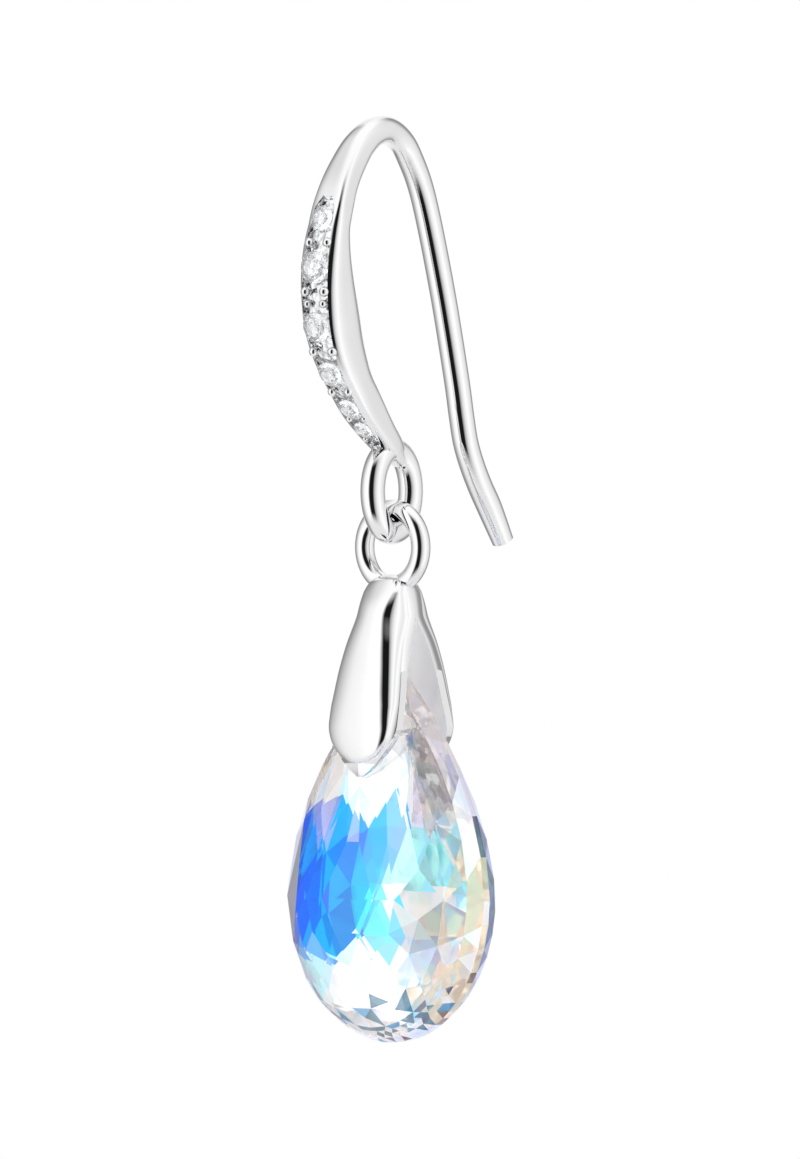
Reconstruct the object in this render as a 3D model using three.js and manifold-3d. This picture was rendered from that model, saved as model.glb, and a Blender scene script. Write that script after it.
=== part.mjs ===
// Teardrop drop earring in polished silver: a fish-hook ear wire whose front widens into a paved
// stem, a bail of two leaves on a small round ring, and a faceted pear-shaped stone hung between them.
//
// Millimetres, +Z up. The origin is on the inside of the hook's crown, where the ear lobe carries it.
// The paved face looks along -Y, the free end is at +Y, and the plane x = 0 is a mirror plane.

import * as THREE from 'three';
import { ConvexGeometry } from 'three/addons/geometries/ConvexGeometry.js';
import { ParametricGeometry } from 'three/addons/geometries/ParametricGeometry.js';
import { mergeVertices } from 'three/addons/utils/BufferGeometryUtils.js';
import Module from 'manifold-3d';

const wasm = await Module();
wasm.setup();

// ---- driving dimensions ----

const wire = 1.11;            // diameter of the ear wire
const clearance = 0.04;       // gap between pieces that touch

// Centre line of the hook from the free end over the crown to the eye. width is across the face, depth
// is from the face to the back, and square is the section's exponent: 2 is round, 8 an eased bar.
const hookSections = [
  { y: 8.10, z: -16.85, width: 0.96, depth: 0.96, square: 2 },
  { y: 7.20, z: -15.44, width: wire, depth: wire, square: 2 },
  { y: 6.54, z: -14.50, width: wire, depth: wire, square: 2 },
  { y: 5.98, z: -13.56, width: wire, depth: wire, square: 2 },
  { y: 5.56, z: -12.62, width: wire, depth: wire, square: 2 },
  { y: 5.28, z: -11.50, width: wire, depth: wire, square: 2 },
  { y: 4.91, z: -9.79, width: wire, depth: wire, square: 2 },
  { y: 3.93, z: -6.03, width: wire, depth: wire, square: 2 },
  { y: 2.71, z: -2.26, width: wire, depth: wire, square: 2 },
  { y: 1.75, z: -0.50, width: wire, depth: 1.15, square: 2 },
  { y: 1.02, z: 0.26, width: wire, depth: 1.18, square: 2 },
  { y: 0.10, z: 0.60, width: 1.14, depth: 1.20, square: 2.2 },
  { y: -0.85, z: 0.42, width: 1.18, depth: 1.20, square: 2.6 },
  { y: -1.65, z: -0.10, width: 1.24, depth: 1.18, square: 3.2 },
  { y: -2.30, z: -0.82, width: 1.34, depth: 1.12, square: 4.5 },
  { y: -2.90, z: -1.68, width: 1.50, depth: 1.05, square: 6 },
  { y: -3.31, z: -2.56, width: 1.66, depth: 1.04, square: 7 },
  { y: -3.60, z: -3.45, width: 1.82, depth: 1.15, square: 8 },
  { y: -3.76, z: -4.32, width: 1.96, depth: 1.36, square: 8 },
  { y: -3.79, z: -5.20, width: 2.03, depth: 1.64, square: 8 },
  { y: -3.72, z: -6.05, width: 2.04, depth: 1.90, square: 8 },
  { y: -3.58, z: -6.88, width: 2.03, depth: 2.08, square: 8 },
  { y: -3.41, z: -7.63, width: 2.00, depth: 2.16, square: 8 },
  { y: -3.16, z: -8.40, width: 1.93, depth: 2.08, square: 8 },
  { y: -2.75, z: -9.26, width: 1.84, depth: 1.88, square: 8 },
  { y: -2.15, z: -10.20, width: 1.74, depth: 1.62, square: 7 },
  { y: -1.34, z: -11.19, width: 1.60, depth: 1.37, square: 6 },
  { y: -0.42, z: -12.12, width: 1.42, depth: 1.18, square: 4.5 },
  { y: 0.40, z: -12.82, width: 1.22, depth: 1.08, square: 3 },
  { y: 1.12, z: -13.42, width: 1.06, depth: 1.06, square: 2 },
];
const crownRow = 11;          // the row of hookSections at the top of the crown

// The eye at the foot of the stem, upright in the YZ plane.
const eye = { y: 0.56, z: -14.68, halfWidth: 1.28, halfHeight: 1.75, wire: 1.06 };

// The sunk channel in the face, between two heights on the stem. It starts at the share topOpen of its
// width, and its lower end narrows to a point over pointRows rows of the table.
const channel = {
  top: -2.40, bottom: -13.05, rim: 0.29, depth: 0.34, topOpen: 0.5, pointRows: 1.3,
};

// The stones in the channel from the top down, and their form as shares of the diameter.
const gem = { foot: 0.34, girdle: 0.49, table: 0.28, crown: 0.16 };
const stones = [
  { z: -3.32, diameter: 1.10 },
  { z: -5.22, diameter: 1.38 },
  { z: -7.52, diameter: 1.34 },
  { z: -9.30, diameter: 1.16 },
  { z: -10.72, diameter: 0.98 },
  { z: -11.62, diameter: 0.84 },
  { z: -12.50, diameter: 0.64 },
];

// The drop's ring is upright in the XZ plane and rests in the bottom of the eye. The leaves and the
// stone hang a little in front of it.
const ring = { y: 0.62, halfWidth: 1.53, halfHeight: 1.62, wire: 0.84 };
const eyeFloor = eye.z - eye.halfHeight + eye.wire / 2;
const ringZ = eyeFloor + clearance - ring.halfHeight + ring.wire / 2;
const stoneY = 0.52;

// Horizontal sections of the bail, downwards: the share of the way from the ring's plane to the
// stone's, half the width, half the depth over both leaves, and half the gap between them.
const bailSections = [
  { z: -18.30, forward: 0, halfWidth: 0.75, halfDepth: 0.55, halfGap: 0 },
  { z: -18.70, forward: 0, halfWidth: 1.00, halfDepth: 0.86, halfGap: 0 },
  { z: -19.30, forward: 0.1, halfWidth: 1.16, halfDepth: 1.26, halfGap: 0 },
  { z: -20.00, forward: 0.2, halfWidth: 1.27, halfDepth: 1.56, halfGap: 0.02 },
  { z: -21.10, forward: 0.4, halfWidth: 1.45, halfDepth: 1.92, halfGap: 0.56 },
  { z: -22.20, forward: 0.6, halfWidth: 1.61, halfDepth: 2.18, halfGap: 0.92 },
  { z: -23.30, forward: 0.8, halfWidth: 1.74, halfDepth: 2.38, halfGap: 1.16 },
  { z: -24.20, forward: 1, halfWidth: 1.82, halfDepth: 2.50, halfGap: 1.38 },
  { z: -24.80, forward: 1, halfWidth: 1.80, halfDepth: 2.54, halfGap: 1.52 },
  { z: -25.40, forward: 1, halfWidth: 1.50, halfDepth: 2.55, halfGap: 1.66 },
  { z: -25.95, forward: 1, halfWidth: 1.08, halfDepth: 2.52, halfGap: 1.79 },
  { z: -26.40, forward: 1, halfWidth: 0.62, halfDepth: 2.43, halfGap: 1.90 },
  { z: -26.75, forward: 1, halfWidth: 0.12, halfDepth: 2.27, halfGap: 1.98 },
];
const leafEdge = 0.12;        // thickness of a leaf at its side edges
const leafSquare = 2.4;       // exponent of a leaf's domed outside

const pin = { z: -24.97, diameter: 0.9 };

// The stone: a semi-ellipse below its widest height and a pointed arch above it, faceted alike front
// and back. thinning is the share of its thickness that it loses towards its point.
const drop = {
  halfWidth: 5.19, below: 6.18, above: 10.29, archPower: 1.91, bottom: -38.06, thinning: 0.55,
};

// Its facet corners from the girdle inwards: share of the outline, depth from the middle plane, how
// many go round, and how far they are turned, in steps.
const stoneRings = [
  { share: 1.00, depth: 0.22, count: 24, turn: 0 },
  { share: 0.93, depth: 1.05, count: 24, turn: 0.5 },
  { share: 0.78, depth: 1.92, count: 12, turn: 0 },
  { share: 0.50, depth: 2.70, count: 12, turn: 0.5 },
  { share: 0.32, depth: 2.95, count: 6, turn: 0 },
];
const stoneHole = 1.10;       // diameter of the hole drilled through the stone for the pin

// Facets round and along each form.
const hookSides = 24;
const hookSteps = 84;
const channelSteps = 40;
const bailSides = 28;
const wireSides = 14;
const ringSteps = 36;
const gemSides = 12;
const mergeDistance = 1e-4;

// ---- solids ----

// A closed manifold-3d solid from a three.js geometry, without the slivers at collapsed ends and with
// its faces turned outwards.
function solid(geometry) {
  const bare = geometry.clone();
  bare.deleteAttribute('normal');
  bare.deleteAttribute('uv');
  const merged = mergeVertices(bare, mergeDistance);
  const index = merged.index.array;
  const triVerts = [];
  for (let i = 0; i < index.length; i += 3) {
    const [a, b, c] = index.subarray(i, i + 3);
    if (a !== b && b !== c && c !== a) triVerts.push(a, b, c);
  }
  const vertProperties = new Float32Array(merged.attributes.position.array);
  const build = () => new wasm.Manifold(
    new wasm.Mesh({ numProp: 3, vertProperties, triVerts: new Uint32Array(triVerts) }));
  const first = build();
  if (first.volume() > 0) return first;
  triVerts.reverse();
  return build();
}

// A named mesh from a solid.
function piece(name, manifold, material) {
  const { vertProperties, triVerts } = manifold.getMesh();
  const geometry = new THREE.BufferGeometry();
  geometry.setAttribute('position', new THREE.BufferAttribute(new Float32Array(vertProperties), 3));
  geometry.setIndex(new THREE.BufferAttribute(new Uint32Array(triVerts), 1));
  const mesh = new THREE.Mesh(geometry, material);
  mesh.name = name;
  return mesh;
}

// A closed loft. section(v, i) is the i-th of the points round the section at the share v of the
// length. Each end is closed to the middle of its section.
function loft(section, around, along) {
  const middle = (v) => {
    const sum = new THREE.Vector3();
    for (let i = 0; i < around; i++) sum.add(section(v, i));
    return sum.divideScalar(around);
  };
  const ends = [middle(0), middle(1)];
  return solid(new ParametricGeometry((u, v, target) => {
    const row = Math.round(v * (along + 2));
    const isCap = row === 0 || row === along + 2;
    const point = isCap ? ends[Math.round(v)] : section((row - 1) / along, Math.round(u * around) % around);
    target.copy(point);
  }, around, along + 2));
}

// A closed ring of round wire along an oval, given by its middle and its two half sizes as vectors.
function ovalRing(middle, across, up, diameter, sides, steps) {
  const axis = new THREE.Vector3().crossVectors(across, up).normalize();
  return solid(new ParametricGeometry((u, v, target) => {
    const turn = 2 * Math.PI * (Math.round(v * steps) % steps) / steps;
    const angle = 2 * Math.PI * (Math.round(u * sides) % sides) / sides;
    const tangent = across.clone().multiplyScalar(-Math.sin(turn)).addScaledVector(up, Math.cos(turn));
    const outwards = new THREE.Vector3().crossVectors(tangent.normalize(), axis);
    target.copy(middle).addScaledVector(across, Math.cos(turn)).addScaledVector(up, Math.sin(turn));
    target.addScaledVector(outwards, Math.cos(angle) * diameter / 2);
    target.addScaledVector(axis, Math.sin(angle) * diameter / 2);
  }, sides, steps));
}

// The i-th of n points of a superellipse, half a step off its axes.
function superellipse(halfAcross, halfUp, power, i, n) {
  const angle = 2 * Math.PI * (i + 0.5) / n;
  const bend = (value) => Math.sign(value) * Math.abs(value) ** (2 / power);
  return [halfAcross * bend(Math.cos(angle)), halfUp * bend(Math.sin(angle))];
}

// The value of a table's column at a fractional row.
function column(rows, name, at) {
  const i = Math.min(Math.floor(at), rows.length - 2);
  return THREE.MathUtils.lerp(rows[i][name], rows[i + 1][name], at - i);
}

// The fractional row where the height falls past z, searched from a first row on.
function rowAtHeight(rows, z, first) {
  let i = first;
  while (rows[i + 1].z > z) i++;
  return i + (rows[i].z - z) / (rows[i].z - rows[i + 1].z);
}

// ---- ear hook ----

const lastRow = hookSections.length - 1;
const hookPoints = hookSections.map(({ y, z }) => new THREE.Vector3(0, y, z));
const hookLine = new THREE.CatmullRomCurve3(hookPoints);

// The hook at a fractional row of its table: its centre, the direction out through the face, and its sizes.
function hookStation(row) {
  const along = hookLine.getTangent(row / lastRow);
  return {
    centre: hookLine.getPoint(row / lastRow),
    out: new THREE.Vector3(0, along.z, -along.y),
    width: column(hookSections, 'width', row),
    depth: column(hookSections, 'depth', row),
    square: column(hookSections, 'square', row),
  };
}

const channelRows = [channel.top, channel.bottom].map((z) => rowAtHeight(hookSections, z, crownRow));

// A bar laid along the channel between two heights over the face, in by a margin at its sides.
function channelBar(margin, floor, roof) {
  const corners = [[1, roof], [-1, roof], [-1, floor], [1, floor]];
  return loft((v, i) => {
    const row = THREE.MathUtils.lerp(...channelRows, v);
    const { centre, out, width, depth } = hookStation(row);
    const opening = channel.topOpen + row - channelRows[0];
    const closing = (channelRows[1] - row) / channel.pointRows;
    const whole = (width / 2 - channel.rim) * Math.min(1, opening, closing);
    const half = Math.max(whole - margin, clearance / 2);
    const [side, height] = corners[i];
    return centre.addScaledVector(out, depth / 2 + height).setX(side * half);
  }, corners.length, channelSteps);
}

// A lathe turned about a stone's axis and set on the face at a height, with y in its outline out of the face.
function onFace(outline, z) {
  const { centre, out, depth } = hookStation(rowAtHeight(hookSections, z, crownRow));
  const seat = centre.addScaledVector(out, depth / 2);
  const profile = outline.map(([radius, height]) => new THREE.Vector2(radius, height));
  const turned = new THREE.LatheGeometry(profile, gemSides);
  turned.applyQuaternion(new THREE.Quaternion().setFromUnitVectors(new THREE.Vector3(0, 1, 0), out));
  return solid(turned.translate(seat.x, seat.y, seat.z));
}

// The bar with its eye, and with the channel and the stones' seats cut into its face.
function earHook() {
  const bar = loft((v, i) => {
    const { centre, out, width, depth, square } = hookStation(v * lastRow);
    const [x, outwards] = superellipse(width / 2, depth / 2, square, i, hookSides);
    return centre.addScaledVector(out, outwards).setX(x);
  }, hookSides, hookSteps);
  const eyeRing = ovalRing(new THREE.Vector3(0, eye.y, eye.z), new THREE.Vector3(0, eye.halfWidth, 0),
    new THREE.Vector3(0, 0, eye.halfHeight), eye.wire, wireSides, ringSteps);
  let hook = bar.add(eyeRing).subtract(channelBar(0, -channel.depth, channel.depth));
  for (const { z, diameter } of stones) {
    const radius = diameter / 2 + clearance / 2;
    hook = hook.subtract(onFace([[0, -channel.depth], [radius, -channel.depth], [radius, 1], [0, 1]], z));
  }
  return hook;
}

// The paving: a bed on the channel's floor with the seven stones standing in it, each a cone with a
// low flat top.
function paveStones() {
  const floor = clearance - channel.depth;
  let paving = channelBar(clearance, floor, -channel.depth / 2);
  for (const { z, diameter } of stones) {
    const [foot, girdle, table, crown] = [gem.foot, gem.girdle, gem.table, gem.crown]
      .map((share) => share * diameter);
    paving = paving.add(onFace([[0, floor], [foot, floor], [girdle, 0], [table, crown], [0, crown]], z));
  }
  return paving;
}

// ---- bail ----

const lastBailRow = bailSections.length - 1;

// Where the middle plane of the bail stands along Y at a fractional row.
function bailMiddle(row) {
  return THREE.MathUtils.lerp(ring.y, stoneY, column(bailSections, 'forward', row));
}

// The two leaves, cut from one domed body, with the ring on top.
function bail() {
  const body = loft((v, i) => {
    const row = v * lastBailRow;
    const halfDepth = column(bailSections, 'halfDepth', row);
    const dome = halfDepth - column(bailSections, 'halfGap', row) - leafEdge;
    const [x, y] = superellipse(column(bailSections, 'halfWidth', row), dome, leafSquare, i, bailSides);
    const side = Math.sign(y) * (halfDepth - dome);
    return new THREE.Vector3(x, bailMiddle(row) + side + y, column(bailSections, 'z', row));
  }, bailSides, 2 * lastBailRow);

  // The slit between the leaves, from the row where the gap starts to just below their tips.
  const slitTop = bailSections.findIndex(({ halfGap }) => halfGap > 0);
  const slitCorners = [[1, 1], [-1, 1], [-1, -1], [1, -1]];
  const slit = loft((v, i) => {
    const row = THREE.MathUtils.lerp(slitTop, lastBailRow, v);
    const [x, y] = slitCorners[i];
    const z = column(bailSections, 'z', row) - (v === 1 ? clearance : 0);
    const halfGap = column(bailSections, 'halfGap', row);
    return new THREE.Vector3(x * ring.halfWidth * 2, bailMiddle(row) + y * halfGap, z);
  }, slitCorners.length, lastBailRow - slitTop);

  const oval = ovalRing(new THREE.Vector3(0, ring.y, ringZ), new THREE.Vector3(ring.halfWidth, 0, 0),
    new THREE.Vector3(0, 0, ring.halfHeight), ring.wire, wireSides, ringSteps);
  return body.subtract(slit).add(oval);
}

// The pin between the leaves, just short of both of them.
function bailPin() {
  const gap = column(bailSections, 'halfGap', rowAtHeight(bailSections, pin.z + pin.diameter / 2, 0));
  const rod = new THREE.CylinderGeometry(pin.diameter / 2, pin.diameter / 2, 2 * (gap - clearance), wireSides);
  return solid(rod.translate(0, stoneY, pin.z));
}

// ---- stone ----

// The stone's outline at an angle from its lowest point, from the middle of its widest line.
function dropOutline(angle) {
  const rise = -Math.cos(angle);
  if (rise <= 0) return [drop.halfWidth * Math.sin(angle), drop.below * rise];
  const width = drop.halfWidth * (1 - rise ** drop.archPower);
  return [Math.sign(Math.sin(angle)) * width, drop.above * rise];
}

// The stone, the hull of its facet corners, drilled from front to back for the pin.
function crystalDrop() {
  const points = [];
  const widest = drop.bottom + drop.below;
  for (const { share, depth, count, turn } of stoneRings) {
    for (let i = 0; i < count; i++) {
      const [x, z] = dropOutline(2 * Math.PI * (i + turn) / count).map((value) => value * share);
      const thinning = 1 - drop.thinning * Math.max(0, z) / drop.above;
      points.push(new THREE.Vector3(x, depth * thinning, z), new THREE.Vector3(x, -depth * thinning, z));
    }
  }
  const faceted = solid(new ConvexGeometry(points).translate(0, stoneY, widest));
  const bore = new THREE.CylinderGeometry(stoneHole / 2, stoneHole / 2, 4 * drop.halfWidth, wireSides);
  return faceted.subtract(solid(bore.translate(0, stoneY, pin.z)));
}

// ---- the earring ----

const silver = { color: 0xe4e6ea, metalness: 1 };
const polished = new THREE.MeshStandardMaterial({ ...silver, roughness: 0.08 });
const clearStones = new THREE.MeshStandardMaterial({ color: 0xf1f4f8, metalness: 0, roughness: 0.05 });
const coatedCrystal = new THREE.MeshStandardMaterial({ color: 0x8fd0f5, metalness: 0, roughness: 0.03 });

const earring = new THREE.Group();
earring.name = 'earring';
earring.add(piece('ear_hook', earHook(), polished));
earring.add(piece('pave_stones', paveStones(), clearStones));

const hangingDrop = new THREE.Group();
hangingDrop.name = 'hanging_drop';
hangingDrop.add(piece('bail', bail(), polished));
hangingDrop.add(piece('bail_pin', bailPin(), polished));
hangingDrop.add(piece('crystal_drop', crystalDrop(), coatedCrystal));
earring.add(hangingDrop);

export default earring;
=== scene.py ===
import math

import bmesh
import bpy
import numpy as np
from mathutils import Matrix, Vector


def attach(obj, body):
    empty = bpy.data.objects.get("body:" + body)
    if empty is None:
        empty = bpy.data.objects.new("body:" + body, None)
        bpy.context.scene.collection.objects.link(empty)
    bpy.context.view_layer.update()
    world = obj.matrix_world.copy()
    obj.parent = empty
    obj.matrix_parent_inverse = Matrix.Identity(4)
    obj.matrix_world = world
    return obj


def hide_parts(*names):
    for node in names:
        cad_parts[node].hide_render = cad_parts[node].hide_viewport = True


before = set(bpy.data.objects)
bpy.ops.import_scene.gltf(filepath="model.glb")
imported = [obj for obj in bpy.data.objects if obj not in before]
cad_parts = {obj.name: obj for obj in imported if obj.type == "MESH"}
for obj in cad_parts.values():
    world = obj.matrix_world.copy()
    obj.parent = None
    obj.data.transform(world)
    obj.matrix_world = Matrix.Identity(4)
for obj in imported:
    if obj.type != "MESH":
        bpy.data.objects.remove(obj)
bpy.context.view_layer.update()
millimetre = 0.001


# A socket of a graph. Arithmetic on it adds Math nodes.
class Wire:
    def __init__(self, graph, socket):
        self.graph, self.socket = graph, socket

    def math(self, operation, *values):
        return self.graph.add("Math", {"operation": operation}, dict(enumerate(values)))

    def __add__(self, other):
        return self.math("ADD", self, other)

    def __sub__(self, other):
        return self.math("SUBTRACT", self, other)

    def __rsub__(self, other):
        return self.math("SUBTRACT", other, self)

    def __mul__(self, other):
        return self.math("MULTIPLY", self, other)

    def __truediv__(self, other):
        return self.math("DIVIDE", self, other)

    __radd__ = __add__
    __rmul__ = __mul__


# The node graph of a material or of the world.
class Graph:
    def __init__(self, owner):
        owner.use_nodes = True
        self.tree = owner.node_tree
        self.tree.nodes.clear()

    # A node by its type, its settings, and its sockets' values or links. Returns one of its outputs.
    def add(self, kind, settings=None, sockets=None, output=0):
        node = self.tree.nodes.new("ShaderNode" + kind)
        for name, value in (settings or {}).items():
            if name == "stops":
                ramp = node.color_ramp
                while len(ramp.elements) < len(value):
                    ramp.elements.new(1.0)
                for stop, (position, colour) in zip(ramp.elements, value):
                    stop.position, stop.color = position, colour
            else:
                setattr(node, name, value)
        for name, value in (sockets or {}).items():
            if isinstance(value, Wire):
                self.tree.links.new(value.socket, node.inputs[name])
            else:
                node.inputs[name].default_value = value
        return Wire(self, node.outputs[output]) if len(node.outputs) else None

    def mixColours(self, factor, first, second):
        sockets = {"Factor": factor, 6: first, 7: second}
        return self.add("Mix", {"data_type": "RGBA"}, sockets, output=2)

    # A smooth 0 to 1 step of a value between two limits.
    def step(self, value, low, high):
        settings = {"interpolation_type": "SMOOTHSTEP"}
        return self.add("MapRange", settings, {0: value, 1: low, 2: high})

    # Noise of so many waves per millimetre, in the piece's own coordinates.
    def noise(self, scale, detail=2.0):
        place = self.add("TexCoord", output="Object")
        return self.add("TexNoise", {}, {"Vector": place, "Scale": scale / millimetre, "Detail": detail})

    def bump(self, height, strength, distance):
        sockets = {"Height": height, "Strength": strength, "Distance": distance * millimetre}
        return self.add("Bump", {}, sockets)


silverLook = {
    "bright": (0.93, 0.93, 0.935, 1),
    "dull": (0.84, 0.84, 0.85, 1),
    "roughness": (0.02, 0.045),
    "metallic": 1.0,
    "wipeScale": 0.35,          # size of the faint polishing clouds, waves per millimetre
    "grainScale": 6.0,          # very fine surface grain
    "grainStrength": 0.12,
    "grainBump": 0.003,
    "paintedGlow": 0.0,
}
# Inside of the leaves, left less bright than the outside. Its colours, a little lighter than the polished
# silver's, and its glow are painted light that lifts the shaded inside.
satinLook = {
    "bright": (0.97, 0.97, 0.975, 1),
    "dull": (0.86, 0.86, 0.88, 1),
    "roughness": (0.25, 0.45),
    "metallic": 0.3,
    "wipeScale": 2.2,
    "grainScale": 9.0,
    "grainStrength": 0.12,
    "grainBump": 0.03,
    "paintedGlow": 0.15,               # painted light: an even glow standing in for the light that the dished inside catches from its own sides
}


# Polished silver: faint clouds vary its brightness and its roughness, and a very fine grain its normal. Its
# emission in the bright colour is painted light, none on the polished silver.
def makeSilver(name, look):
    material = bpy.data.materials.new(name)
    graph = Graph(material)
    clouds = graph.noise(look["wipeScale"], detail=3.0)
    grain = graph.noise(look["grainScale"])
    low, high = look["roughness"]
    shader = graph.add("BsdfPrincipled", {}, {
        "Base Color": graph.mixColours(clouds, look["dull"], look["bright"]),
        "Metallic": look["metallic"],
        "Roughness": clouds * (high - low) + low,
        "Normal": graph.bump(grain, look["grainStrength"], look["grainBump"]),
        # emission: painted light
        "Emission Color": look["bright"],
        "Emission Strength": look["paintedGlow"],
    })
    graph.add("OutputMaterial", {}, {"Surface": shader})
    return material


channelLook = {
    "cutScale": 4.2,            # cuts per millimetre
    "cutBump": 0.05,
    "shadeFrom": (0.25, 0.75),  # distances from a cut's middle over which its colour turns to the painted shade at the cut's edges
    # colour: lighter than the polished silver's, painted light against the shade in the groove
    "colour": (0.98, 0.98, 0.985, 1),
    "shade": (0.80, 0.81, 0.82, 1),
    "metallic": 0.95,
    "roughness": 0.08,
}


# The graver-cut silver between the stones: the same metal, broken into small bright cuts, in a colour lighter
# than the polished silver's as painted light against the groove's shade, with painted shade at each cut's edge.
def makeCutSilver():
    look = channelLook
    material = bpy.data.materials.new("cut_silver")
    graph = Graph(material)
    place = graph.add("TexCoord", output="Object")
    cuts = graph.add("TexVoronoi", {"feature": "F1"}, {"Vector": place, "Scale": look["cutScale"] / millimetre})
    shading = graph.step(cuts, *look["shadeFrom"])
    shader = graph.add("BsdfPrincipled", {}, {
        "Base Color": graph.mixColours(shading, look["colour"], look["shade"]),
        "Metallic": look["metallic"],
        "Roughness": look["roughness"],
        "Normal": graph.bump(cuts, 1.0, look["cutBump"]),
    })
    graph.add("OutputMaterial", {}, {"Surface": shader})
    return material


# the stones' glow is an even emission in their colour, painted light
stoneLook = {"colour": (1, 1, 1, 1), "haze": (0.93, 0.95, 0.98, 1), "hazeScale": 1.5, "ior": 2.15, "paintedGlow": 0.05}


# The small clear stones of the paving: strongly refracting, with the least haze, and a faint glow of painted
# light that brightens them.
def makeClearStone():
    look = stoneLook
    material = bpy.data.materials.new("clear_stones")
    graph = Graph(material)
    haze = graph.noise(look["hazeScale"], detail=1.0)
    shader = graph.add("BsdfPrincipled", {}, {
        "Base Color": graph.mixColours(haze, look["colour"], look["haze"]),
        "Transmission Weight": 1.0,
        "IOR": look["ior"],
        "Roughness": 0.0,
        "Emission Color": look["colour"],
        "Emission Strength": look["paintedGlow"],
    })
    graph.add("OutputMaterial", {}, {"Surface": shader})
    return material


crystalLook = {
    "ior": 1.56,
    "mirrorRoughness": 0.06,
    "edgeTint": (0.85, 0.88, 1, 1),     # of the coat where it is seen at a slant
    "gleam": (0.4, 0.75, 1, 1),         # of the reflections on the clear glass
    # painted light: an even emission in each facet's tint that lifts the crystal's darker parts
    "paintedGlow": 0.09,
    "stain": 0.5,                       # how much of a facet's tint the glass under it takes
}


# Clear crystal under an iridescent coat: the facet_tint attribute gives each facet its coat colour, and its
# alpha how much of the facet shows the coat rather than the clear glass. Glass and coat both glow faintly in
# that tint, painted light.
def makeCoatedCrystal():
    look = crystalLook
    material = bpy.data.materials.new("coated_crystal")
    graph = Graph(material)
    tint = graph.add("Attribute", {"attribute_name": "facet_tint"}, {}, output="Color")
    share = graph.add("Attribute", {"attribute_name": "facet_tint"}, {}, output="Alpha")
    glass = graph.add("BsdfPrincipled", {}, {
        "Base Color": graph.mixColours(look["stain"], (1, 1, 1, 1), tint),
        "Transmission Weight": 1.0,
        "IOR": look["ior"],
        "Roughness": 0.0,
        "Specular Tint": look["gleam"],
        "Emission Color": tint,
        "Emission Strength": look["paintedGlow"],
    })
    coat = graph.add("BsdfPrincipled", {}, {
        "Base Color": tint,
        "Metallic": 1.0,
        "Roughness": look["mirrorRoughness"],
        "Specular Tint": look["edgeTint"],
        "Emission Color": tint,
        "Emission Strength": look["paintedGlow"],
    })
    graph.add("OutputMaterial", {}, {"Surface": graph.add("MixShader", {}, {0: share, 1: glass, 2: coat})})
    return material


polishedSilver = makeSilver("polished_silver", silverLook)
satinSilver = makeSilver("satin_silver", satinLook)
cutSilver = makeCutSilver()
clearStone = makeClearStone()
coatedCrystal = makeCoatedCrystal()
print("materials made")


# Catmull-Rom blend of a table's rows at fractional row numbers: with rows a, b, c and d round the place, and t
# the share of the way from b to c, half of
# 2b + (c - a)t + (2a - 5b + 4c - d)t^2 + (3b - a - 3c + d)t^3.
def blendRows(table, at):
    rows = np.asarray(table, float)
    last = len(rows) - 1
    first = np.clip(np.floor(at).astype(int), 0, last - 1)
    t = (at - first)[:, None]
    a, b, c, d = (rows[np.clip(first + k, 0, last)] for k in (-1, 0, 1, 2))
    return 0.5 * (2 * b + (c - a) * t + (2 * a - 5 * b + 4 * c - d) * t**2
                  + (3 * b - a - 3 * c + d) * t**3)


# sign(value) * |value| ** (2 / power): bends a cosine or sine into a superellipse's.
def bend(value, power):
    return np.sign(value) * np.abs(value) ** (2 / power)


# The faces of a grid of rows by columns, closed round its columns, with its first and last rows capped, or
# closed along its rows too, as a ring is.
def gridFaces(rows, columns, closedAlong=False):
    numbers = np.arange(rows * columns).reshape(rows, columns)
    below = np.roll(numbers, -1, 0) if closedAlong else numbers[1:]
    above = numbers if closedAlong else numbers[:-1]
    corners = [above, np.roll(above, -1, 1), np.roll(below, -1, 1), below]
    quads = np.stack(corners, -1).reshape(-1, 4).tolist()
    return quads if closedAlong else quads + [numbers[0].tolist()[::-1], numbers[-1].tolist()]


# A ring of round wire along an oval. Centre plus cos and sin of the turn times its half sizes, and round each
# place a circle spanned by the direction out of the oval and the oval's own axis.
def ovalRing(centre, across, up, diameter, sides=32, steps=160):
    across, up = np.array(across, float), np.array(up, float)
    turn = np.linspace(0, 2 * np.pi, steps, endpoint=False)[:, None]
    angle = np.linspace(0, 2 * np.pi, sides, endpoint=False)[None, :, None]
    axis = np.cross(across, up)
    axis /= np.linalg.norm(axis)
    along = -across * np.sin(turn) + up * np.cos(turn)
    out = np.cross(along / np.linalg.norm(along, axis=1, keepdims=True), axis)
    middle = np.array(centre, float) + across * np.cos(turn) + up * np.sin(turn)
    points = middle[:, None] + (out[:, None] * np.cos(angle) + axis * np.sin(angle)) * diameter / 2
    return points.reshape(-1, 3), gridFaces(steps, sides, closedAlong=True)


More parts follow.
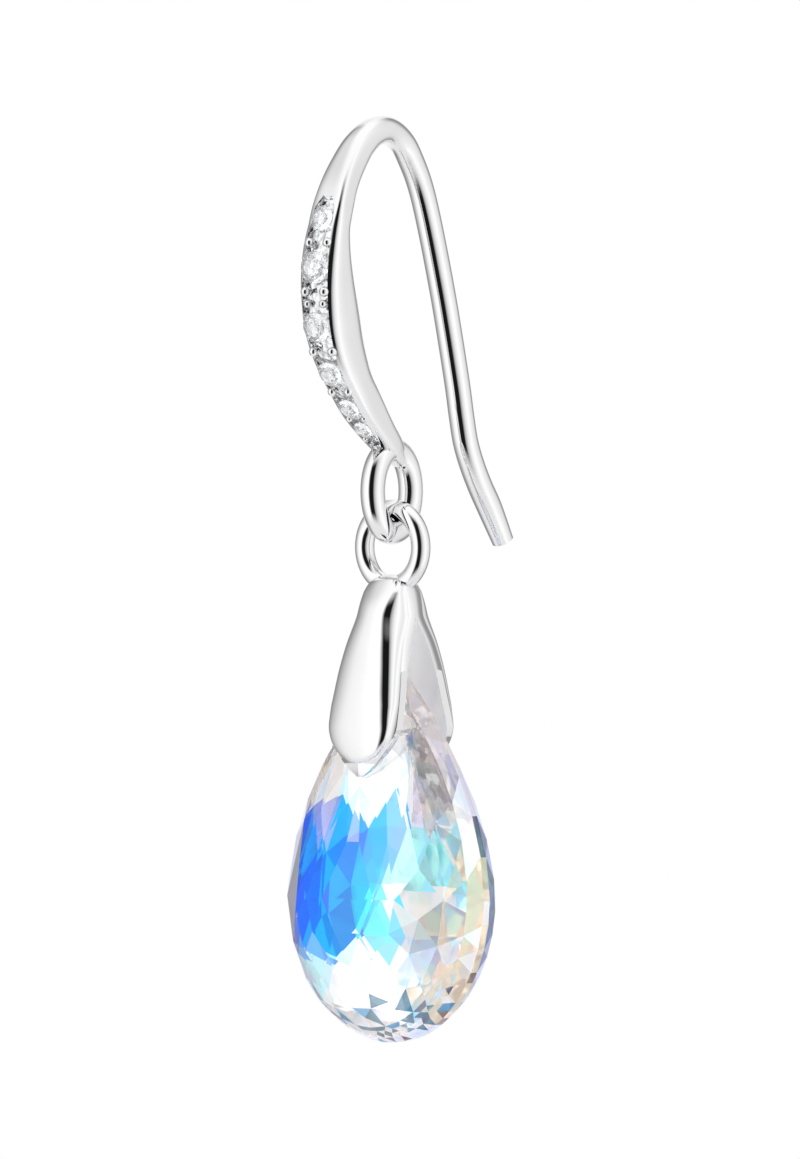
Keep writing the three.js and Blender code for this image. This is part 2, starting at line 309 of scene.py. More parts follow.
# One object from several shells, each (points, faces) or (points, faces, material numbers). Faces are turned
# outwards, and edges under the smooth angle are shaded smooth.
def makePiece(name, shells, materials, body, smoothAngle=None):
    points = np.concatenate([shell[0] for shell in shells]) * millimetre
    starts = np.cumsum([0] + [len(shell[0]) for shell in shells[:-1]])
    faces = [[start + i for i in face] for start, shell in zip(starts, shells) for face in shell[1]]
    mesh = bpy.data.meshes.new(name)
    mesh.from_pydata(points.tolist(), [], faces)
    numbers = [np.broadcast_to(shell[2] if len(shell) > 2 else 0, len(shell[1])) for shell in shells]
    mesh.polygons.foreach_set("material_index", np.concatenate(numbers).astype(np.int32))
    work = bmesh.new()
    work.from_mesh(mesh)
    bmesh.ops.recalc_face_normals(work, faces=work.faces)
    work.to_mesh(mesh)
    work.free()
    for material in materials:
        mesh.materials.append(material)
    if smoothAngle is not None:
        mesh.shade_smooth()
        mesh.set_sharp_from_angle(angle=math.radians(smoothAngle))
    piece = bpy.data.objects.new(name, mesh)
    bpy.context.scene.collection.objects.link(piece)
    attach(piece, body)
    return piece


# sections: y, z, width across the face, depth behind it, and exponent (2 round, more a bar with eased corners),
# from the free end over the crown to the eye.
hook = {
    "sections": [
        (8.10, -16.85, 0.96, 0.96, 2), (7.20, -15.44, 1.11, 1.11, 2), (6.54, -14.50, 1.11, 1.11, 2),
        (5.98, -13.56, 1.11, 1.11, 2), (5.56, -12.62, 1.11, 1.11, 2), (5.28, -11.50, 1.11, 1.11, 2),
        (4.91, -9.79, 1.11, 1.11, 2), (3.93, -6.03, 1.11, 1.11, 2), (2.71, -2.26, 1.11, 1.11, 2),
        (1.75, -0.50, 1.11, 1.15, 2), (1.02, 0.26, 1.11, 1.18, 2), (0.10, 0.60, 1.14, 1.20, 2.2),
        (-0.85, 0.42, 1.18, 1.20, 2.6), (-1.65, -0.10, 1.24, 1.18, 3.2), (-2.30, -0.82, 1.34, 1.12, 4.0),
        (-2.90, -1.68, 1.50, 1.05, 4.6), (-3.31, -2.56, 1.66, 1.04, 5), (-3.60, -3.45, 1.82, 1.15, 3.4),
        (-3.76, -4.32, 1.96, 1.36, 3.4), (-3.79, -5.20, 2.03, 1.64, 3.4), (-3.72, -6.05, 2.04, 1.90, 3.4),
        (-3.58, -6.88, 2.03, 2.08, 3.4), (-3.41, -7.63, 2.00, 2.16, 3.4), (-3.16, -8.40, 1.93, 2.08, 3.4),
        (-2.75, -9.26, 1.84, 1.88, 3.4), (-2.15, -10.20, 1.74, 1.62, 3.4), (-1.34, -11.19, 1.60, 1.37, 5),
        (-0.42, -12.12, 1.42, 1.18, 4), (0.40, -12.82, 1.20, 1.06, 3), (1.12, -13.42, 0.80, 0.66, 2),
    ],
    "crownRow": 11,
    "rowsOfMesh": 420,
    "roundOfMesh": 72,
    "channelTop": -2.40,        # heights of the sunk channel's two ends
    "channelBottom": -13.05,
    "rim": 0.33,
    "channelDepth": 0.24,
    "sinkRows": 0.12,           # rows over which it sinks to that depth at each end
    "leastHalf": 0.03,          # its least half width
    "topOpen": 0.5,             # share of its width that the channel starts with
    "pointRows": 1.3,           # rows over which its lower end narrows to a point
    "floorColumns": 9,
    "floorReach": 0.97,         # share of its half width that the flat floor covers
    "cutFrom": 0.01,            # depth from which the floor is cut silver
    "eyeCentre": (0, 0.56, -14.68),
    "eyeHalfWidth": 1.28,
    "eyeHalfHeight": 1.75,
    "eyeWire": 1.06,
}
lastRow = len(hook["sections"]) - 1


# The fractional row of the hook's front at a height.
def rowAtHeight(z):
    start = hook["crownRow"]
    heights = np.array(hook["sections"])[start:, 1]
    return start + np.interp(-np.atleast_1d(np.asarray(z, float)), -heights, np.arange(len(heights)))


# Places along the hook at fractional rows: centre, direction out through the face, half width, half depth,
# exponent, and the channel's half width and depth there. Out is the way along, turned by a right angle, and the
# way along is the difference of the centres a nudge ahead and a nudge behind.
def hookPlaces(at):
    y, z, width, depth, power = blendRows(hook["sections"], at).T
    nudge = 0.01
    ahead, behind = (blendRows(hook["sections"], at + step) for step in (nudge, -nudge))
    along = (ahead - behind)[:, :2]
    along /= np.linalg.norm(along, axis=1, keepdims=True)
    zero = np.zeros_like(y)
    first, last = rowAtHeight([hook["channelTop"], hook["channelBottom"]])
    opening = np.clip(hook["topOpen"] + at - first, hook["topOpen"], 1)
    opening = np.minimum(opening, (last - at) / hook["pointRows"])
    inside = np.clip(np.minimum(at - first, last - at) / hook["sinkRows"], 0, 1)
    return {
        "centre": np.stack([zero, y, z], -1),
        "out": np.stack([zero, along[:, 1], -along[:, 0]], -1),
        "halfWidth": width / 2,
        "halfDepth": depth / 2,
        "power": power,
        "channelHalf": np.maximum((width / 2 - hook["rim"]) * opening, hook["leastHalf"]),
        "channelDepth": hook["channelDepth"] * inside,
    }


# The hook's bar: a superellipse carried along the centre line, whose reach at an angle is
# ((cos(angle) / a) ** power + (sin(angle) / b) ** power) ** (-1 / power), cut open on its face, where the
# channel's floor keeps the face's own height over x less the channel's depth.
def hookBar():
    at = np.linspace(0, lastRow, hook["rowsOfMesh"])
    place = hookPlaces(at)
    a, b, power = (place[name][:, None] for name in ("halfWidth", "halfDepth", "power"))
    half, depth = place["channelHalf"][:, None], place["channelDepth"][:, None]
    rise = b * (1 - (half / a) ** power) ** (1 / power)
    brink = np.arctan2(rise, half)
    angle = brink - np.linspace(0, 1, hook["roundOfMesh"]) * (np.pi + 2 * brink)
    reach = (np.abs(np.cos(angle) / a) ** power + np.abs(np.sin(angle) / b) ** power) ** (-1 / power)
    outerX, outerH = reach * np.cos(angle), reach * np.sin(angle)
    floorX = half * np.linspace(-hook["floorReach"], hook["floorReach"], hook["floorColumns"])
    floorH = b * (1 - np.abs(floorX / a) ** power) ** (1 / power) - depth
    x = np.concatenate([outerX, floorX], 1)
    height = np.concatenate([outerH, floorH], 1)
    points = place["centre"][:, None] + place["out"][:, None] * height[..., None]
    points[..., 0] = x
    faces = gridFaces(*x.shape)
    columns = np.tile(np.arange(x.shape[1]), x.shape[0] - 1)
    rows = np.repeat(np.arange(x.shape[0] - 1), x.shape[1])
    isFloor = (columns >= hook["roundOfMesh"] - 1) & (place["channelDepth"][rows] > hook["cutFrom"])
    return points.reshape(-1, 3), faces, np.append(isFloor, [False, False]).astype(int)


eyeRing = ovalRing(hook["eyeCentre"], (0, hook["eyeHalfWidth"], 0), (0, 0, hook["eyeHalfHeight"]),
                   hook["eyeWire"])
earHook = makePiece("ear_hook_polished", [hookBar(), eyeRing], [polishedSilver, cutSilver], "hook",
                    smoothAngle=38)
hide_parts("ear_hook")
print("ear hook made")


# Stones from the top down: height on the stem, diameter. Grains sit in pairs in the gaps between them.
paving = {
    "stones": [
        (-3.32, 1.12), (-5.22, 1.40), (-7.50, 1.34), (-9.28, 1.16), (-10.72, 1.00), (-11.62, 0.86),
        (-12.50, 0.66),
    ],
    "rise": 0.02,               # girdle over the face
    "crown": 0.17,              # a stone's heights, depths and radii as shares of its diameter
    "pavilion": 0.30,
    "table": 0.54,
    "crownRadius": 0.39,
    "girdle": 0.02,             # half its thickness
    "pavilionRadius": 0.24,
    "facets": 8,
    "grainRise": -0.09,
    "grainPairs": [             # height, distance from the middle, diameter
        (-4.26, 0.48, 0.44), (-6.14, 0.50, 0.46), (-6.60, 0.42, 0.38), (-8.42, 0.50, 0.44),
        (-10.04, 0.44, 0.42), (-11.20, 0.40, 0.33), (-12.08, 0.32, 0.29), (-12.90, 0.16, 0.24),
    ],
}


# Places and turns on the face at heights: origins, each the centre line's point plus half the depth outwards,
# and an across, along and out direction for each.
def faceFrames(heights):
    place = hookPlaces(rowAtHeight(heights))
    out = place["out"]
    across = np.broadcast_to([1.0, 0, 0], out.shape)
    return place["centre"] + out * place["halfDepth"][:, None], across, np.cross(out, across), out


# A round brilliant of diameter 1: rings of points at radii and heights, joined by flat triangles.
def brilliant():
    facets, girdle = paving["facets"], paving["girdle"]
    rings = [  # radius, height, points, turn in points
        (0.5 * paving["table"], paving["crown"], facets, 0.0),
        (paving["crownRadius"], 0.6 * paving["crown"], facets, 0.5),
        (0.5, girdle, 2 * facets, 0.25),
        (0.5, -girdle, 2 * facets, 0.25),
        (paving["pavilionRadius"], -0.6 * paving["pavilion"], facets, 0.0),
    ]
    points = []
    for radius, height, count, turn in rings:
        angle = (np.arange(count) + turn) * 2 * np.pi / count
        points.append(np.stack([radius * np.cos(angle), radius * np.sin(angle), np.full(count, height)], -1))
    points.append([[0, 0, -paving["pavilion"]]])
    return hullOf(np.concatenate(points))


# The convex hull of points as (points, triangles).
def hullOf(points):
    work = bmesh.new()
    for point in points:
        work.verts.new(point)
    made = bmesh.ops.convex_hull(work, input=work.verts)
    bmesh.ops.delete(work, geom=made["geom_interior"] + made["geom_unused"], context="VERTS")
    work.verts.index_update()
    corners = np.array([v.co[:] for v in work.verts])
    faces = [[v.index for v in face.verts] for face in work.faces]
    work.free()
    return corners, faces


# Copies of a shape at places on the face, each scaled by its size: across, along and out carry its x, y and z.
def repeatOnFace(shape, frames, sizes, sideways=0.0, rise=0.0):
    points, faces = shape
    origin, across, along, out = frames
    local = points[None] * np.asarray(sizes)[:, None, None]
    sideways = np.broadcast_to(sideways, len(origin))[:, None]
    seats = origin + across * sideways + out * rise
    placed = seats[:, None] + (local[..., :1] * across[:, None] + local[..., 1:2] * along[:, None]
                               + local[..., 2:] * out[:, None])
    starts = np.arange(len(origin)) * len(points)
    return placed.reshape(-1, 3), [[start + i for i in face] for start in starts for face in faces]


# A round bead of diameter 1: radius cos(lift) / 2 at height sin(lift) / 2, with a small flat below and on top.
def grainBead(sides=12, rings=7, lowest=-0.45, smallFlat=0.01):
    lift = np.linspace(lowest, 0.5, rings) * np.pi
    turn = np.linspace(0, 2 * np.pi, sides, endpoint=False)
    radius, height = np.maximum(np.cos(lift)[:, None] / 2, smallFlat), np.sin(lift)[:, None] / 2
    points = np.stack([radius * np.cos(turn), radius * np.sin(turn), height + 0 * turn], -1)
    return points.reshape(-1, 3), gridFaces(rings, sides)


stoneHeights, stoneSizes = np.array(paving["stones"]).T
gems = repeatOnFace(brilliant(), faceFrames(stoneHeights), stoneSizes, rise=paving["rise"])
paveStones = makePiece("pave_stones_cut", [gems], [clearStone], "hook")
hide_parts("pave_stones")

grainHeights, grainSides, grainSizes = np.array(paving["grainPairs"]).T
grainFrames = faceFrames(grainHeights)
beads = [repeatOnFace(grainBead(), grainFrames, grainSizes, side * grainSides, paving["grainRise"])
         for side in (-1, 1)]
makePiece("pave_grains", beads, [polishedSilver], "hook", smoothAngle=60)
print("paving made")


# sections, downwards: height, share of the way from the ring's plane to the stone's, half width, half depth
# over both leaves, and half the gap between them.
bail = {
    "ringPlane": 0.62,
    "stonePlane": 0.52,
    "ringCentre": -17.06,
    "ringHalfWidth": 1.53,
    "ringHalfHeight": 1.62,
    "ringWire": 0.84,
    "sections": [
        (-18.20, 0, 0.22, 0.16, 0), (-18.27, 0, 0.50, 0.36, 0), (-18.42, 0, 0.80, 0.60, 0),
        (-18.70, 0, 1.00, 0.86, 0), (-19.30, 0.1, 1.16, 1.26, 0), (-20.00, 0.2, 1.27, 1.56, 0.02),
        (-21.10, 0.4, 1.45, 1.92, 0.56), (-22.20, 0.6, 1.61, 2.18, 0.92),
        (-23.30, 0.8, 1.74, 2.38, 1.16), (-24.20, 1, 1.82, 2.50, 1.38), (-24.80, 1, 1.80, 2.54, 1.52),
        (-25.40, 1, 1.50, 2.55, 1.66), (-25.95, 1, 1.08, 2.52, 1.79), (-26.40, 1, 0.62, 2.43, 1.90),
        (-26.75, 1, 0.12, 2.27, 1.98),
    ],
    "rowsOfMesh": 180,
    "domeColumns": 61,
    "insideColumns": 21,
    "side": 0.62,               # thickness of a leaf's plate at its sides
    "sideShare": 0.6,           # and its most, as a share of the whole leaf's
    "bevel": 0.3,               # share of that thickness taken by the bevel
    "bevelWidth": 0.985,        # width over the bevel's inner edge as a share of the plate's
    "edgeSoftness": 0.02,
    "square": 2.3,              # exponent of the dome's section
    "domeShare": 0.93,          # width of the dome over the plate's
    "domeWidest": 1.66,
    "domeTurns": -24.4,         # height where the dome's round lower end starts, and where it ends
    "domeEnd": -26.16,
    "domeFall": 0.8,            # how roundly its height falls there
    "hollow": 0.22,             # depth of the dished inside
    "hollowGap": 0.6,           # half the gap where it has its whole depth
    "satinGap": 0.1,            # half the gap from where the inside is satin
}


# One leaf, sign -1 in front and 1 behind: a pointed plate with a dome on it. From inside to outside: a dish of
# depth hollow * (1 - share ** 2) ** 2, the plate's side, its bevel, and the dome, half a superellipse whose
# lower end closes as sqrt(1 - drop ** 2) does.
def leaf(sign):
    at = np.linspace(0, len(bail["sections"]) - 1, bail["rowsOfMesh"])
    z, forward, width, depth, gap = (column[:, None] for column in blendRows(bail["sections"], at).T)
    gap = np.maximum(gap, 0)
    side = np.minimum(bail["side"], bail["sideShare"] * (depth - gap))
    drop = np.clip((bail["domeTurns"] - z) / (bail["domeTurns"] - bail["domeEnd"]), 0, 1)
    closing = np.sqrt(1 - drop**2)
    domeWidth = np.minimum(width * bail["domeShare"], bail["domeWidest"] * closing)
    domeHeight = (depth - gap - side) * closing ** bail["domeFall"]
    angle = np.linspace(0, np.pi, bail["domeColumns"])
    domeX = domeWidth * bend(np.cos(angle), bail["square"])
    domeY = gap + side + domeHeight * bend(np.sin(angle), bail["square"])
    share = np.linspace(-1, 1, bail["insideColumns"])
    dish = bail["hollow"] * np.clip(gap / bail["hollowGap"], 0, 1) * (1 - share**2) ** 2
    bevel = gap + side * (1 - bail["bevel"])
    edge, bevelX = bevel - bail["edgeSoftness"], width * bail["bevelWidth"]
    x = np.concatenate([width, bevelX, domeX, -bevelX, -width, width * share], 1)
    y = np.concatenate([edge, bevel, domeY, bevel, edge, gap + dish], 1)
    middle = bail["ringPlane"] + (bail["stonePlane"] - bail["ringPlane"]) * forward
    points = np.stack([x, middle + sign * y, z + 0 * x], -1)
    columns = np.tile(np.arange(x.shape[1]), x.shape[0] - 1)
    rows = np.repeat(np.arange(x.shape[0] - 1), x.shape[1])
    firstInside = bail["domeColumns"] + 4
    isDish = (columns >= firstInside) & (columns < firstInside + bail["insideColumns"] - 1)
    isInside = isDish & (gap[rows, 0] > bail["satinGap"])
    return points.reshape(-1, 3), gridFaces(*x.shape), np.append(isInside, [False, False]).astype(int)


bailRing = ovalRing((0, bail["ringPlane"], bail["ringCentre"]), (bail["ringHalfWidth"], 0, 0),
                    (0, 0, bail["ringHalfHeight"]), bail["ringWire"])
bailPiece = makePiece("bail_polished", [leaf(-1), leaf(1), bailRing], [polishedSilver, satinSilver], "bail",
                      smoothAngle=50)
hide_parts("bail")
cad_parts["bail_pin"].data.materials.clear()
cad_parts["bail_pin"].data.materials.append(polishedSilver)
print("bail made")


crystal = {
    "halfWidth": 5.19,
    "below": 6.18,              # from the widest line down to the foot
    "above": 10.29,             # and up to the point
    "archPower": 1.91,
    "widest": -31.88,
    "thinning": 0.55,           # share of its thickness lost towards the point
    # Rings of corners: share of the outline, depth from the middle plane, points, turn in points, and how far
    # from the foot the ring reaches, in degrees.
    "rings": [
        (1.00, 0.20, 36, 0, 180), (1.00, 0.20, 72, 0, 60), (0.965, 0.71, 72, 0.5, 56),
        (0.94, 0.98, 36, 0.5, 180), (0.94, 0.98, 72, 0, 56), (0.915, 1.20, 72, 0.5, 48),
        (0.89, 1.38, 36, 0, 60), (0.82, 1.77, 16, 0, 180), (0.76, 2.00, 24, 0.5, 50),
        (0.66, 2.34, 16, 0.5, 180), (0.46, 2.77, 12, 0, 180), (0.27, 2.96, 6, 0.5, 180),
    ],
    "hole": 1.10,
    "holeHeight": -24.97,
    "drillReach": 6.0,          # how far the drill goes to each side, past both faces
    "drillSides": 32,
}


# Points on the outline scaled towards the widest line's middle. Below that line it is half an ellipse, and
# above it the half width is halfWidth * (1 - rise ** archPower).
def outline(share, angle):
    rise = -np.cos(angle)
    up = np.clip(rise, 0, 1)
    arch = np.sign(np.sin(angle)) * (1 - up ** crystal["archPower"])
    x = crystal["halfWidth"] * np.where(rise > 0, arch, np.sin(angle))
    z = np.where(rise > 0, crystal["above"], crystal["below"]) * rise
    return x * share, z * share


# The stone's corners, in front and behind: each ring's points on the scaled outline, at its depth, which thins
# towards the point as depth * (1 - thinning * z / above). Corners that two rings share are kept once.
def crystalPoints():
    points = []
    for share, depth, count, turn, reach in crystal["rings"]:
        angle = 2 * np.pi * (np.arange(count) + turn) / count
        fromFoot = np.minimum(angle, 2 * np.pi - angle)
        x, z = outline(share, angle[fromFoot <= math.radians(reach)])
        thick = depth * (1 - crystal["thinning"] * np.clip(z, 0, None) / crystal["above"])
        points += [np.stack([x, side * thick, z], -1) for side in (-1, 1)]
    points = np.unique(np.round(np.concatenate(points), 5), axis=0)
    return points + [0, bail["stonePlane"], crystal["widest"]]


coat = {
    # Colours of the back facets from left to right: x, red, green, blue and the share of coat over the glass.
    "behind": [
        (-5.2, 0.45, 0.30, 0.85, 0.50), (-4.8, 0.22, 0.12, 0.80, 0.80), (-4.4, 0.00, 0.05, 0.90, 0.98),
        (-3.6, 0.00, 0.14, 0.96, 0.98), (-2.9, 0.00, 0.42, 1.00, 0.98), (-2.2, 0.00, 0.60, 1.00, 0.97),
        (-1.2, 0.08, 0.80, 1.00, 0.92), (-0.5, 0.50, 0.95, 1.00, 0.60), (0.2, 0.98, 0.98, 1.00, 0.25),
        (2.4, 1.00, 0.96, 0.94, 0.20), (5.2, 0.94, 0.97, 1.00, 0.15),
    ],
    "lean": 0.30,               # how far the colours shift left for each millimetre down
    "scatter": 2.2,             # and from facet to facet
    "greens": (0.6, 0.7),       # least share of their green, and how much more of it a facet may have
    "blueTop": -28.2,           # heights between which the blue lies
    "blueFoot": -34.6,
    "ragged": 2.8,              # how uneven those two limits are from facet to facet
    "blueFade": 0.5,
    # Tint that the front facets give to the blue behind them: x, red, green, blue and share of coat.
    "stain": [
        (-3.6, 0.0, 0.12, 1.0, 0.0), (-2.4, 0.0, 0.45, 1.0, 0.0), (-1.2, 0.0, 0.75, 1.0, 0.0),
        (0.0, 0.4, 0.95, 1.0, 0.0), (1.2, 1.0, 1.0, 1.0, 0.0),
    ],
    "frontSpread": 0.03,
    "rightFrom": 1.2,           # the front facets are pastel again from here to the right
    "rightFade": 1.0,
    "marginFrom": -3.0,         # and from here to the left, with more coat
    "marginFade": 0.6,
    "marginShare": 1.0,
    # Tints of the other facets, and their share of coat.
    "pastels": [
        (1.00, 1.00, 1.00), (1.00, 0.92, 0.85), (0.92, 0.88, 1.00), (0.86, 0.96, 1.00), (0.93, 0.93, 0.94),
        (1.00, 0.99, 1.00), (1.00, 0.96, 0.93),
    ],
    "pastelShare": (0.10, 0.38),
    "blush": (1.00, 0.90, 0.85),        # strewn over the facets round the bail
    "blushFade": 2.0,
    "bailFrom": -27.2,          # height from which the facets by the bail have more coat
    "bailFade": 1.5,
    "bailShare": 0.15,
    "rimFacing": 0.5,           # a facet turned less than this to the front or back is at the rim
    "rimShare": 0.70,
    # The rim's lower right: tint and share of coat, the least x, the greatest height, the most that a facet is
    # turned to the front or back, and the share of facets left out.
    "warm": (1.00, 0.78, 0.50, 0.40),
    "warmFrom": 2.4,
    "warmBelow": -30.5,
    "warmFacing": 0.8,
    "warmLeftOut": 0.25,
    # Painted dark reflections: dark facets near the foot and a few along the rim, and the shares of facets
    # there without one.
    "paintedDarks": [(0.02, 0.16, 0.24), (0.20, 0.10, 0.06), (0.10, 0.10, 0.16), (0.02, 0.30, 0.60)],
    "paintedDarkShare": 0.6,
    "paintedDarksBelow": -36.2,
    "footWithout": 0.66,
    "rimWithout": 0.88,
    "pattern": 11.135,          # another number strews the tints another way
}


# The columns of a table after its first one, read at x.
def readTable(table, x):
    places, *columns = np.array(table).T
    return np.stack([np.interp(x, places, column) for column in columns], -1)


# 0 below a start, 1 beyond it by the fade's width, and straight between: (value - start) / fade, within 0 to 1.
def rampUp(value, start, fade):
    return np.clip((value - start) / fade, 0, 1)


# A row of a list for each facet, the one that its chance between 0 and 1 falls on.
def pickRows(rows, chance):
    rows = np.array(rows)
    return rows[(chance * len(rows)).astype(int)]


# For each face its facet's middle, its normal and five chances between 0 and 1. Faces with one normal are one
# facet, whose middle is the mean of their centres by area, and
# fraction(|sin(number * 12.9898 + k * pattern)| * 43758.5) gives it its chances.
def readFacets(mesh):
    count = len(mesh.polygons)
    centre, normal, area = np.empty(count * 3), np.empty(count * 3), np.empty(count)
    mesh.polygons.foreach_get("center", centre)
    mesh.polygons.foreach_get("normal", normal)
    mesh.polygons.foreach_get("area", area)
    centre, normal = centre.reshape(-1, 3) / millimetre, normal.reshape(-1, 3)
    _, facet = np.unique(np.round(normal, 2), axis=0, return_inverse=True)
    facet = facet.ravel()
    weight = np.bincount(facet, area)
    middle = np.stack([np.bincount(facet, area * centre[:, k]) / weight for k in range(3)], -1)[facet]
    waves = np.sin(facet[:, None] * 12.9898 + np.arange(5) * coat["pattern"])
    return middle, normal, np.modf(np.abs(waves) * 43758.5)[0]


# Sets each facet's tint as (red, green, blue, share of coat). Back facets mix the blue table and the pastels by
# inBlue, front facets the stain and the pastels by inBlue * (1 - pale). The rim, its warm part and the painted
# dark reflections are laid over them in that order.
def tintFacets(piece):
    middle, normal, chance = readFacets(piece.data)
    across, height, facing = middle[:, 0], middle[:, 2], np.abs(normal[:, 1])

    x = across - coat["lean"] * (height - crystal["widest"]) + (chance[:, 0] - 0.5) * coat["scatter"]
    behind = readTable(coat["behind"], x)
    least, more = coat["greens"]
    behind[:, 1] *= least + more * chance[:, 2]

    low, high = coat["pastelShare"]
    pastel = np.column_stack([pickRows(coat["pastels"], chance[:, 1]), low + (high - low) * chance[:, 2]])
    blush = rampUp(height, coat["blueTop"], coat["blushFade"]) * chance[:, 0]
    pastel[:, :3] += blush[:, None] * (np.array(coat["blush"]) - pastel[:, :3])
    atLeft = rampUp(-across, -coat["marginFrom"], coat["marginFade"])
    byBail = rampUp(height, coat["bailFrom"], coat["bailFade"])
    for most, place in ((coat["marginShare"], atLeft), (coat["bailShare"], byBail)):
        pastel[:, 3] = np.maximum(pastel[:, 3], most * place)

    clear = readTable(coat["stain"], across)
    clear[:, 3] += coat["frontSpread"] * chance[:, 4]

    uneven = height + (chance[:, 1] - 0.5) * coat["ragged"]
    inBlue = np.minimum(rampUp(uneven, coat["blueFoot"], coat["blueFade"]),
                        rampUp(-uneven, -coat["blueTop"], coat["blueFade"]))[:, None]
    pale = np.maximum(rampUp(across, coat["rightFrom"], coat["rightFade"]), atLeft)[:, None]
    inBlue = np.where(normal[:, 1:2] < 0, inBlue * (1 - pale), inBlue)
    tint = np.where(normal[:, 1:2] < 0, clear, behind) * inBlue + pastel * (1 - inBlue)

    atRim = facing < coat["rimFacing"]
    rim = np.column_stack([pastel[:, :3], np.maximum(pastel[:, 3], coat["rimShare"])])
    tint = np.where(atRim[:, None], rim, tint)
    isWarm = (facing < coat["warmFacing"]) & (across > coat["warmFrom"]) & (height < coat["warmBelow"])
    tint = np.where((isWarm & (chance[:, 0] > coat["warmLeftOut"]))[:, None], coat["warm"], tint)
    # painted dark reflections: dark facets near the foot and a few along the rim
    isPaintedDark = (height < coat["paintedDarksBelow"]) & (chance[:, 4] > coat["footWithout"])
    isPaintedDark |= atRim & (chance[:, 4] > coat["rimWithout"])
    paintedDark = np.column_stack([pickRows(coat["paintedDarks"], chance[:, 3]), np.full(len(height), coat["paintedDarkShare"])])
    tint = np.where(isPaintedDark[:, None], paintedDark, tint)
    attribute = piece.data.attributes.new("facet_tint", "FLOAT_COLOR", "FACE")
    attribute.data.foreach_set("color", np.clip(tint, 0, 1).ravel())


# Marks the hole's mouths on the front and back facets with a prism of drillSides sides along Y, whose corners
# are hole / 2 times the cos and sin of the angle from the hole's middle. The prism's faces point inwards, so
# the difference removes nothing and the stone stays solid there. Turned outwards, they would open the hole.
def drillHole(piece):
    sides, reach, radius = crystal["drillSides"], crystal["drillReach"], crystal["hole"] / 2
    angle = np.linspace(0, 2 * np.pi, sides, endpoint=False)
    y = np.array([-reach, reach])[:, None]
    points = np.stack([radius * np.cos(angle) + 0 * y, y + 0 * angle,
                       crystal["holeHeight"] + radius * np.sin(angle) + 0 * y], -1).reshape(-1, 3)
    drill = bpy.data.objects.new("drill", bpy.data.meshes.new("drill"))
    drill.data.from_pydata((points * millimetre).tolist(), [], gridFaces(2, sides))
    bpy.context.scene.collection.objects.link(drill)
    cut = piece.modifiers.new("hole", "BOOLEAN")
    cut.object, cut.operation, cut.solver = drill, "DIFFERENCE", "EXACT"
    bpy.context.view_layer.update()
    evaluated = piece.evaluated_get(bpy.context.evaluated_depsgraph_get())
    cutMesh = bpy.data.meshes.new_from_object(evaluated)
    piece.modifiers.clear()
    piece.data = cutMesh
    bpy.data.objects.remove(drill)


crystalPiece = makePiece("crystal_drop_cut", [hullOf(crystalPoints())], [coatedCrystal], "stone")
drillHole(crystalPiece)
tintFacets(crystalPiece)
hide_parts("crystal_drop")
print("crystal drop made")


studio = {
    "azimuth": 39.0,
    "elevation": 1.0,
    "lens": 250.0,
    "sensorHeight": 24.0,
    "heightShare": 0.80,        # of the frame that the earring fills
    "middle": (0.3, 0.743, -18.43),
    "length": 39.3,
    "floorHeight": -60.0,
    "floorRadius": 75.0,
    "floorFade": (0.35, 0.95),  # shares of that radius between which the floor fades away
    "walls": [                  # light of the walls by angle to the right of the camera
        (-180, 1.00), (-164, 0.90), (-154, 0.28), (-138, 0.30), (-122, 0.45), (-106, 0.66), (-88, 0.98),
        (-68, 1.15), (-44, 1.15), (-36, 0.40), (-30, 0.01), (3, 0.01), (8, 0.25), (14, 0.48), (34, 0.90),
        (60, 1.15), (80, 1.00), (115, 0.80), (134, 0.35), (150, 0.28), (162, 0.90), (180, 1.00),
    ],
    "ceiling": 1.1,
    "ceilingFrom": (0.6, 0.92),         # upward parts of a direction over which the ceiling takes over
    "ground": 0.75,
    "groundFrom": (-0.85, -0.99),       # and the ground
    "evenness": 0.5,            # how far the room seen through the stones is evened out
    "even": 1.15,               # and to what light
    "overhead": {"azimuth": -30, "elevation": 62, "distance": 240, "size": 150, "power": 0.09},
}


# Direction from the earring at an azimuth and elevation in degrees: azimuth 0 is -Y, and 90 is +X.
def direction(azimuth, elevation=0.0):
    a, e = math.radians(azimuth), math.radians(elevation)
    return np.array([math.sin(a) * math.cos(e), -math.cos(a) * math.cos(e), math.sin(e)])


# A grey of the room's light as a colour.
def grey(light):
    return (light, light, light, 1)


# Sets an object at a distance from the earring's middle and turns it to face the middle.
def aimAtMiddle(thing, azimuth, elevation, distance):
    back = direction(azimuth, elevation)
    thing.location = (np.array(studio["middle"]) + back * distance) * millimetre
    thing.rotation_euler = Vector(back).to_track_quat("Z", "Y").to_euler()


# The camera stands at length / heightShare * lens / sensorHeight, so that the earring fills its share of the
# frame's height.
def makeCamera():
    data = bpy.data.cameras.new("camera")
    data.lens = studio["lens"]
    data.sensor_fit = "VERTICAL"
    data.sensor_height = studio["sensorHeight"]
    data.clip_start = 0.05
    camera = bpy.data.objects.new("camera", data)
    bpy.context.scene.collection.objects.link(camera)
    distance = studio["length"] / studio["heightShare"] * studio["lens"] / studio["sensorHeight"]
    aimAtMiddle(camera, studio["azimuth"], studio["elevation"], distance)
    bpy.context.scene.camera = camera


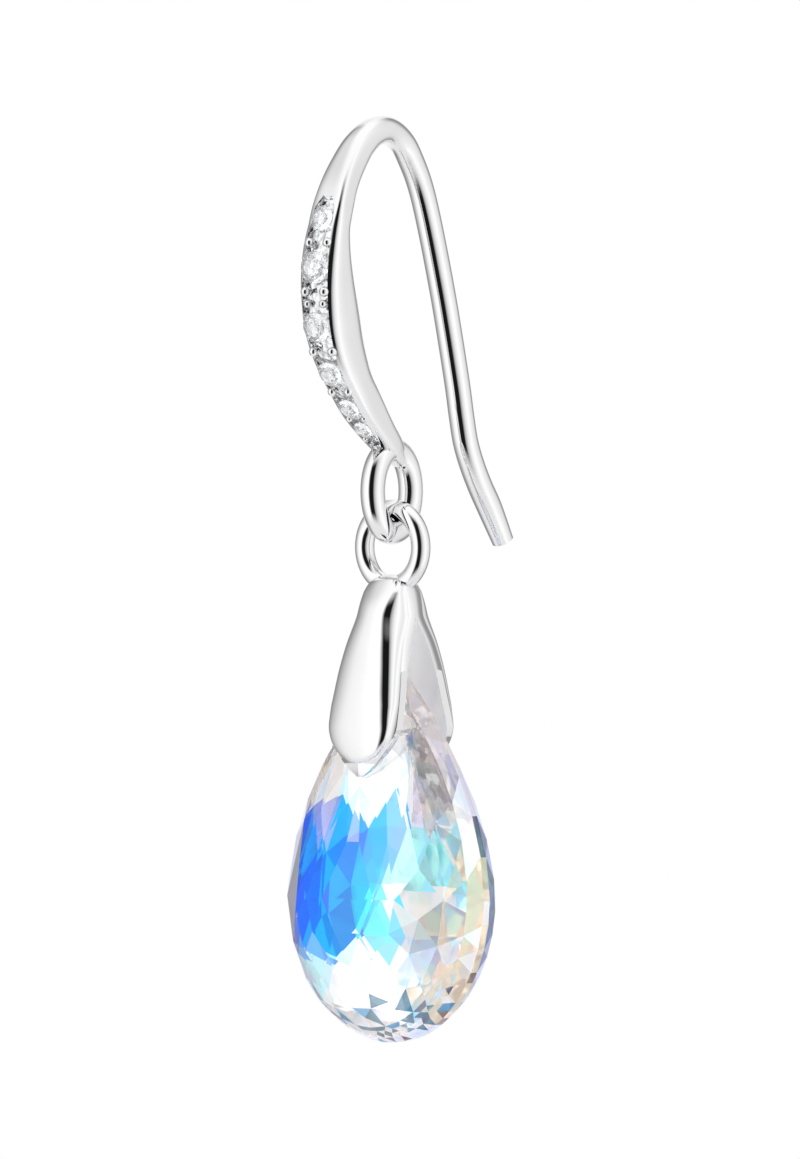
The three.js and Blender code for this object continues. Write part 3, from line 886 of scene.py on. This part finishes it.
# A white room: the walls' light runs round the earring by azimuth, with one dark upright gap beside the camera
# that draws the dark streaks in the silver, under a bright ceiling. Seen directly, it is plain white. The
# azimuth of a direction is arctan2(its part to the right of the camera, its part towards the camera).
def makeWorld():
    world = bpy.data.worlds.new("studio")
    bpy.context.scene.world = world
    graph = Graph(world)
    way = graph.add("TexCoord", output="Generated")
    up = graph.add("SeparateXYZ", {}, {0: way}, output="Z")

    def toward(azimuth):
        sockets = {0: way, 1: direction(azimuth)}
        return graph.add("VectorMath", {"operation": "DOT_PRODUCT"}, sockets, output="Value")

    front = studio["azimuth"]
    sideways = toward(front + 90)
    turn = sideways.math("ARCTAN2", sideways, toward(front)) / (2 * math.pi) + 0.5
    stops = [((angle + 180) / 360, grey(light)) for angle, light in studio["walls"]]
    light = graph.add("ValToRGB", {"stops": stops}, {0: turn})
    light = graph.mixColours(graph.step(up, *studio["ceilingFrom"]), light, grey(studio["ceiling"]))
    light = graph.mixColours(graph.step(up, *studio["groundFrom"]), light, grey(studio["ground"]))
    through = graph.add("LightPath", output="Is Transmission Ray")
    light = graph.mixColours(through * studio["evenness"], light, grey(studio["even"]))
    room = graph.add("Background", {}, {"Color": light, "Strength": 1.0})
    backdrop = graph.add("Background", {}, {"Color": grey(1), "Strength": 1.0})
    seen = graph.add("LightPath", output="Is Camera Ray")
    graph.add("OutputWorld", {}, {"Surface": graph.add("MixShader", {}, {0: seen, 1: room, 2: backdrop})})


# A round pale floor, corners at floorRadius times cos and sin of the turn, that fades away towards its edge.
def makeFloor():
    material = bpy.data.materials.new("pale_floor")
    graph = Graph(material)
    place = graph.add("TexCoord", output="Object")
    distance = graph.add("VectorMath", {"operation": "LENGTH"}, {0: place}, output="Value")
    low, high = (share * studio["floorRadius"] * millimetre for share in studio["floorFade"])
    fade = graph.step(distance, low, high)
    paper = graph.add("BsdfPrincipled", {}, {"Base Color": (0.93, 0.93, 0.935, 1), "Roughness": 0.7})
    gone = graph.add("BsdfTransparent")
    graph.add("OutputMaterial", {}, {"Surface": graph.add("MixShader", {}, {0: fade, 1: paper, 2: gone})})
    sides = 96
    turn = np.linspace(0, 2 * np.pi, sides, endpoint=False)
    points = np.stack([np.cos(turn), np.sin(turn), 0 * turn], -1) * studio["floorRadius"]
    mesh = bpy.data.meshes.new("floor")
    mesh.from_pydata((points * millimetre).tolist(), [], [list(range(sides))])
    mesh.materials.append(material)
    floor = bpy.data.objects.new("floor", mesh)
    floor.location = (0, 0, studio["floorHeight"] * millimetre)
    bpy.context.scene.collection.objects.link(floor)


# A square soft light facing the earring, which the silver doesn't reflect as a patch.
def makeLight(name):
    lamp = studio[name]
    data = bpy.data.lights.new(name, "AREA")
    data.size = lamp["size"] * millimetre
    data.energy = lamp["power"]
    light = bpy.data.objects.new(name, data)
    aimAtMiddle(light, lamp["azimuth"], lamp["elevation"], lamp["distance"])
    light.visible_glossy = False
    bpy.context.scene.collection.objects.link(light)


makeCamera()
makeWorld()
makeFloor()
makeLight("overhead")
bpy.context.scene.view_settings.view_transform = "Standard"
print("studio made")

bpy.context.view_layer.update()
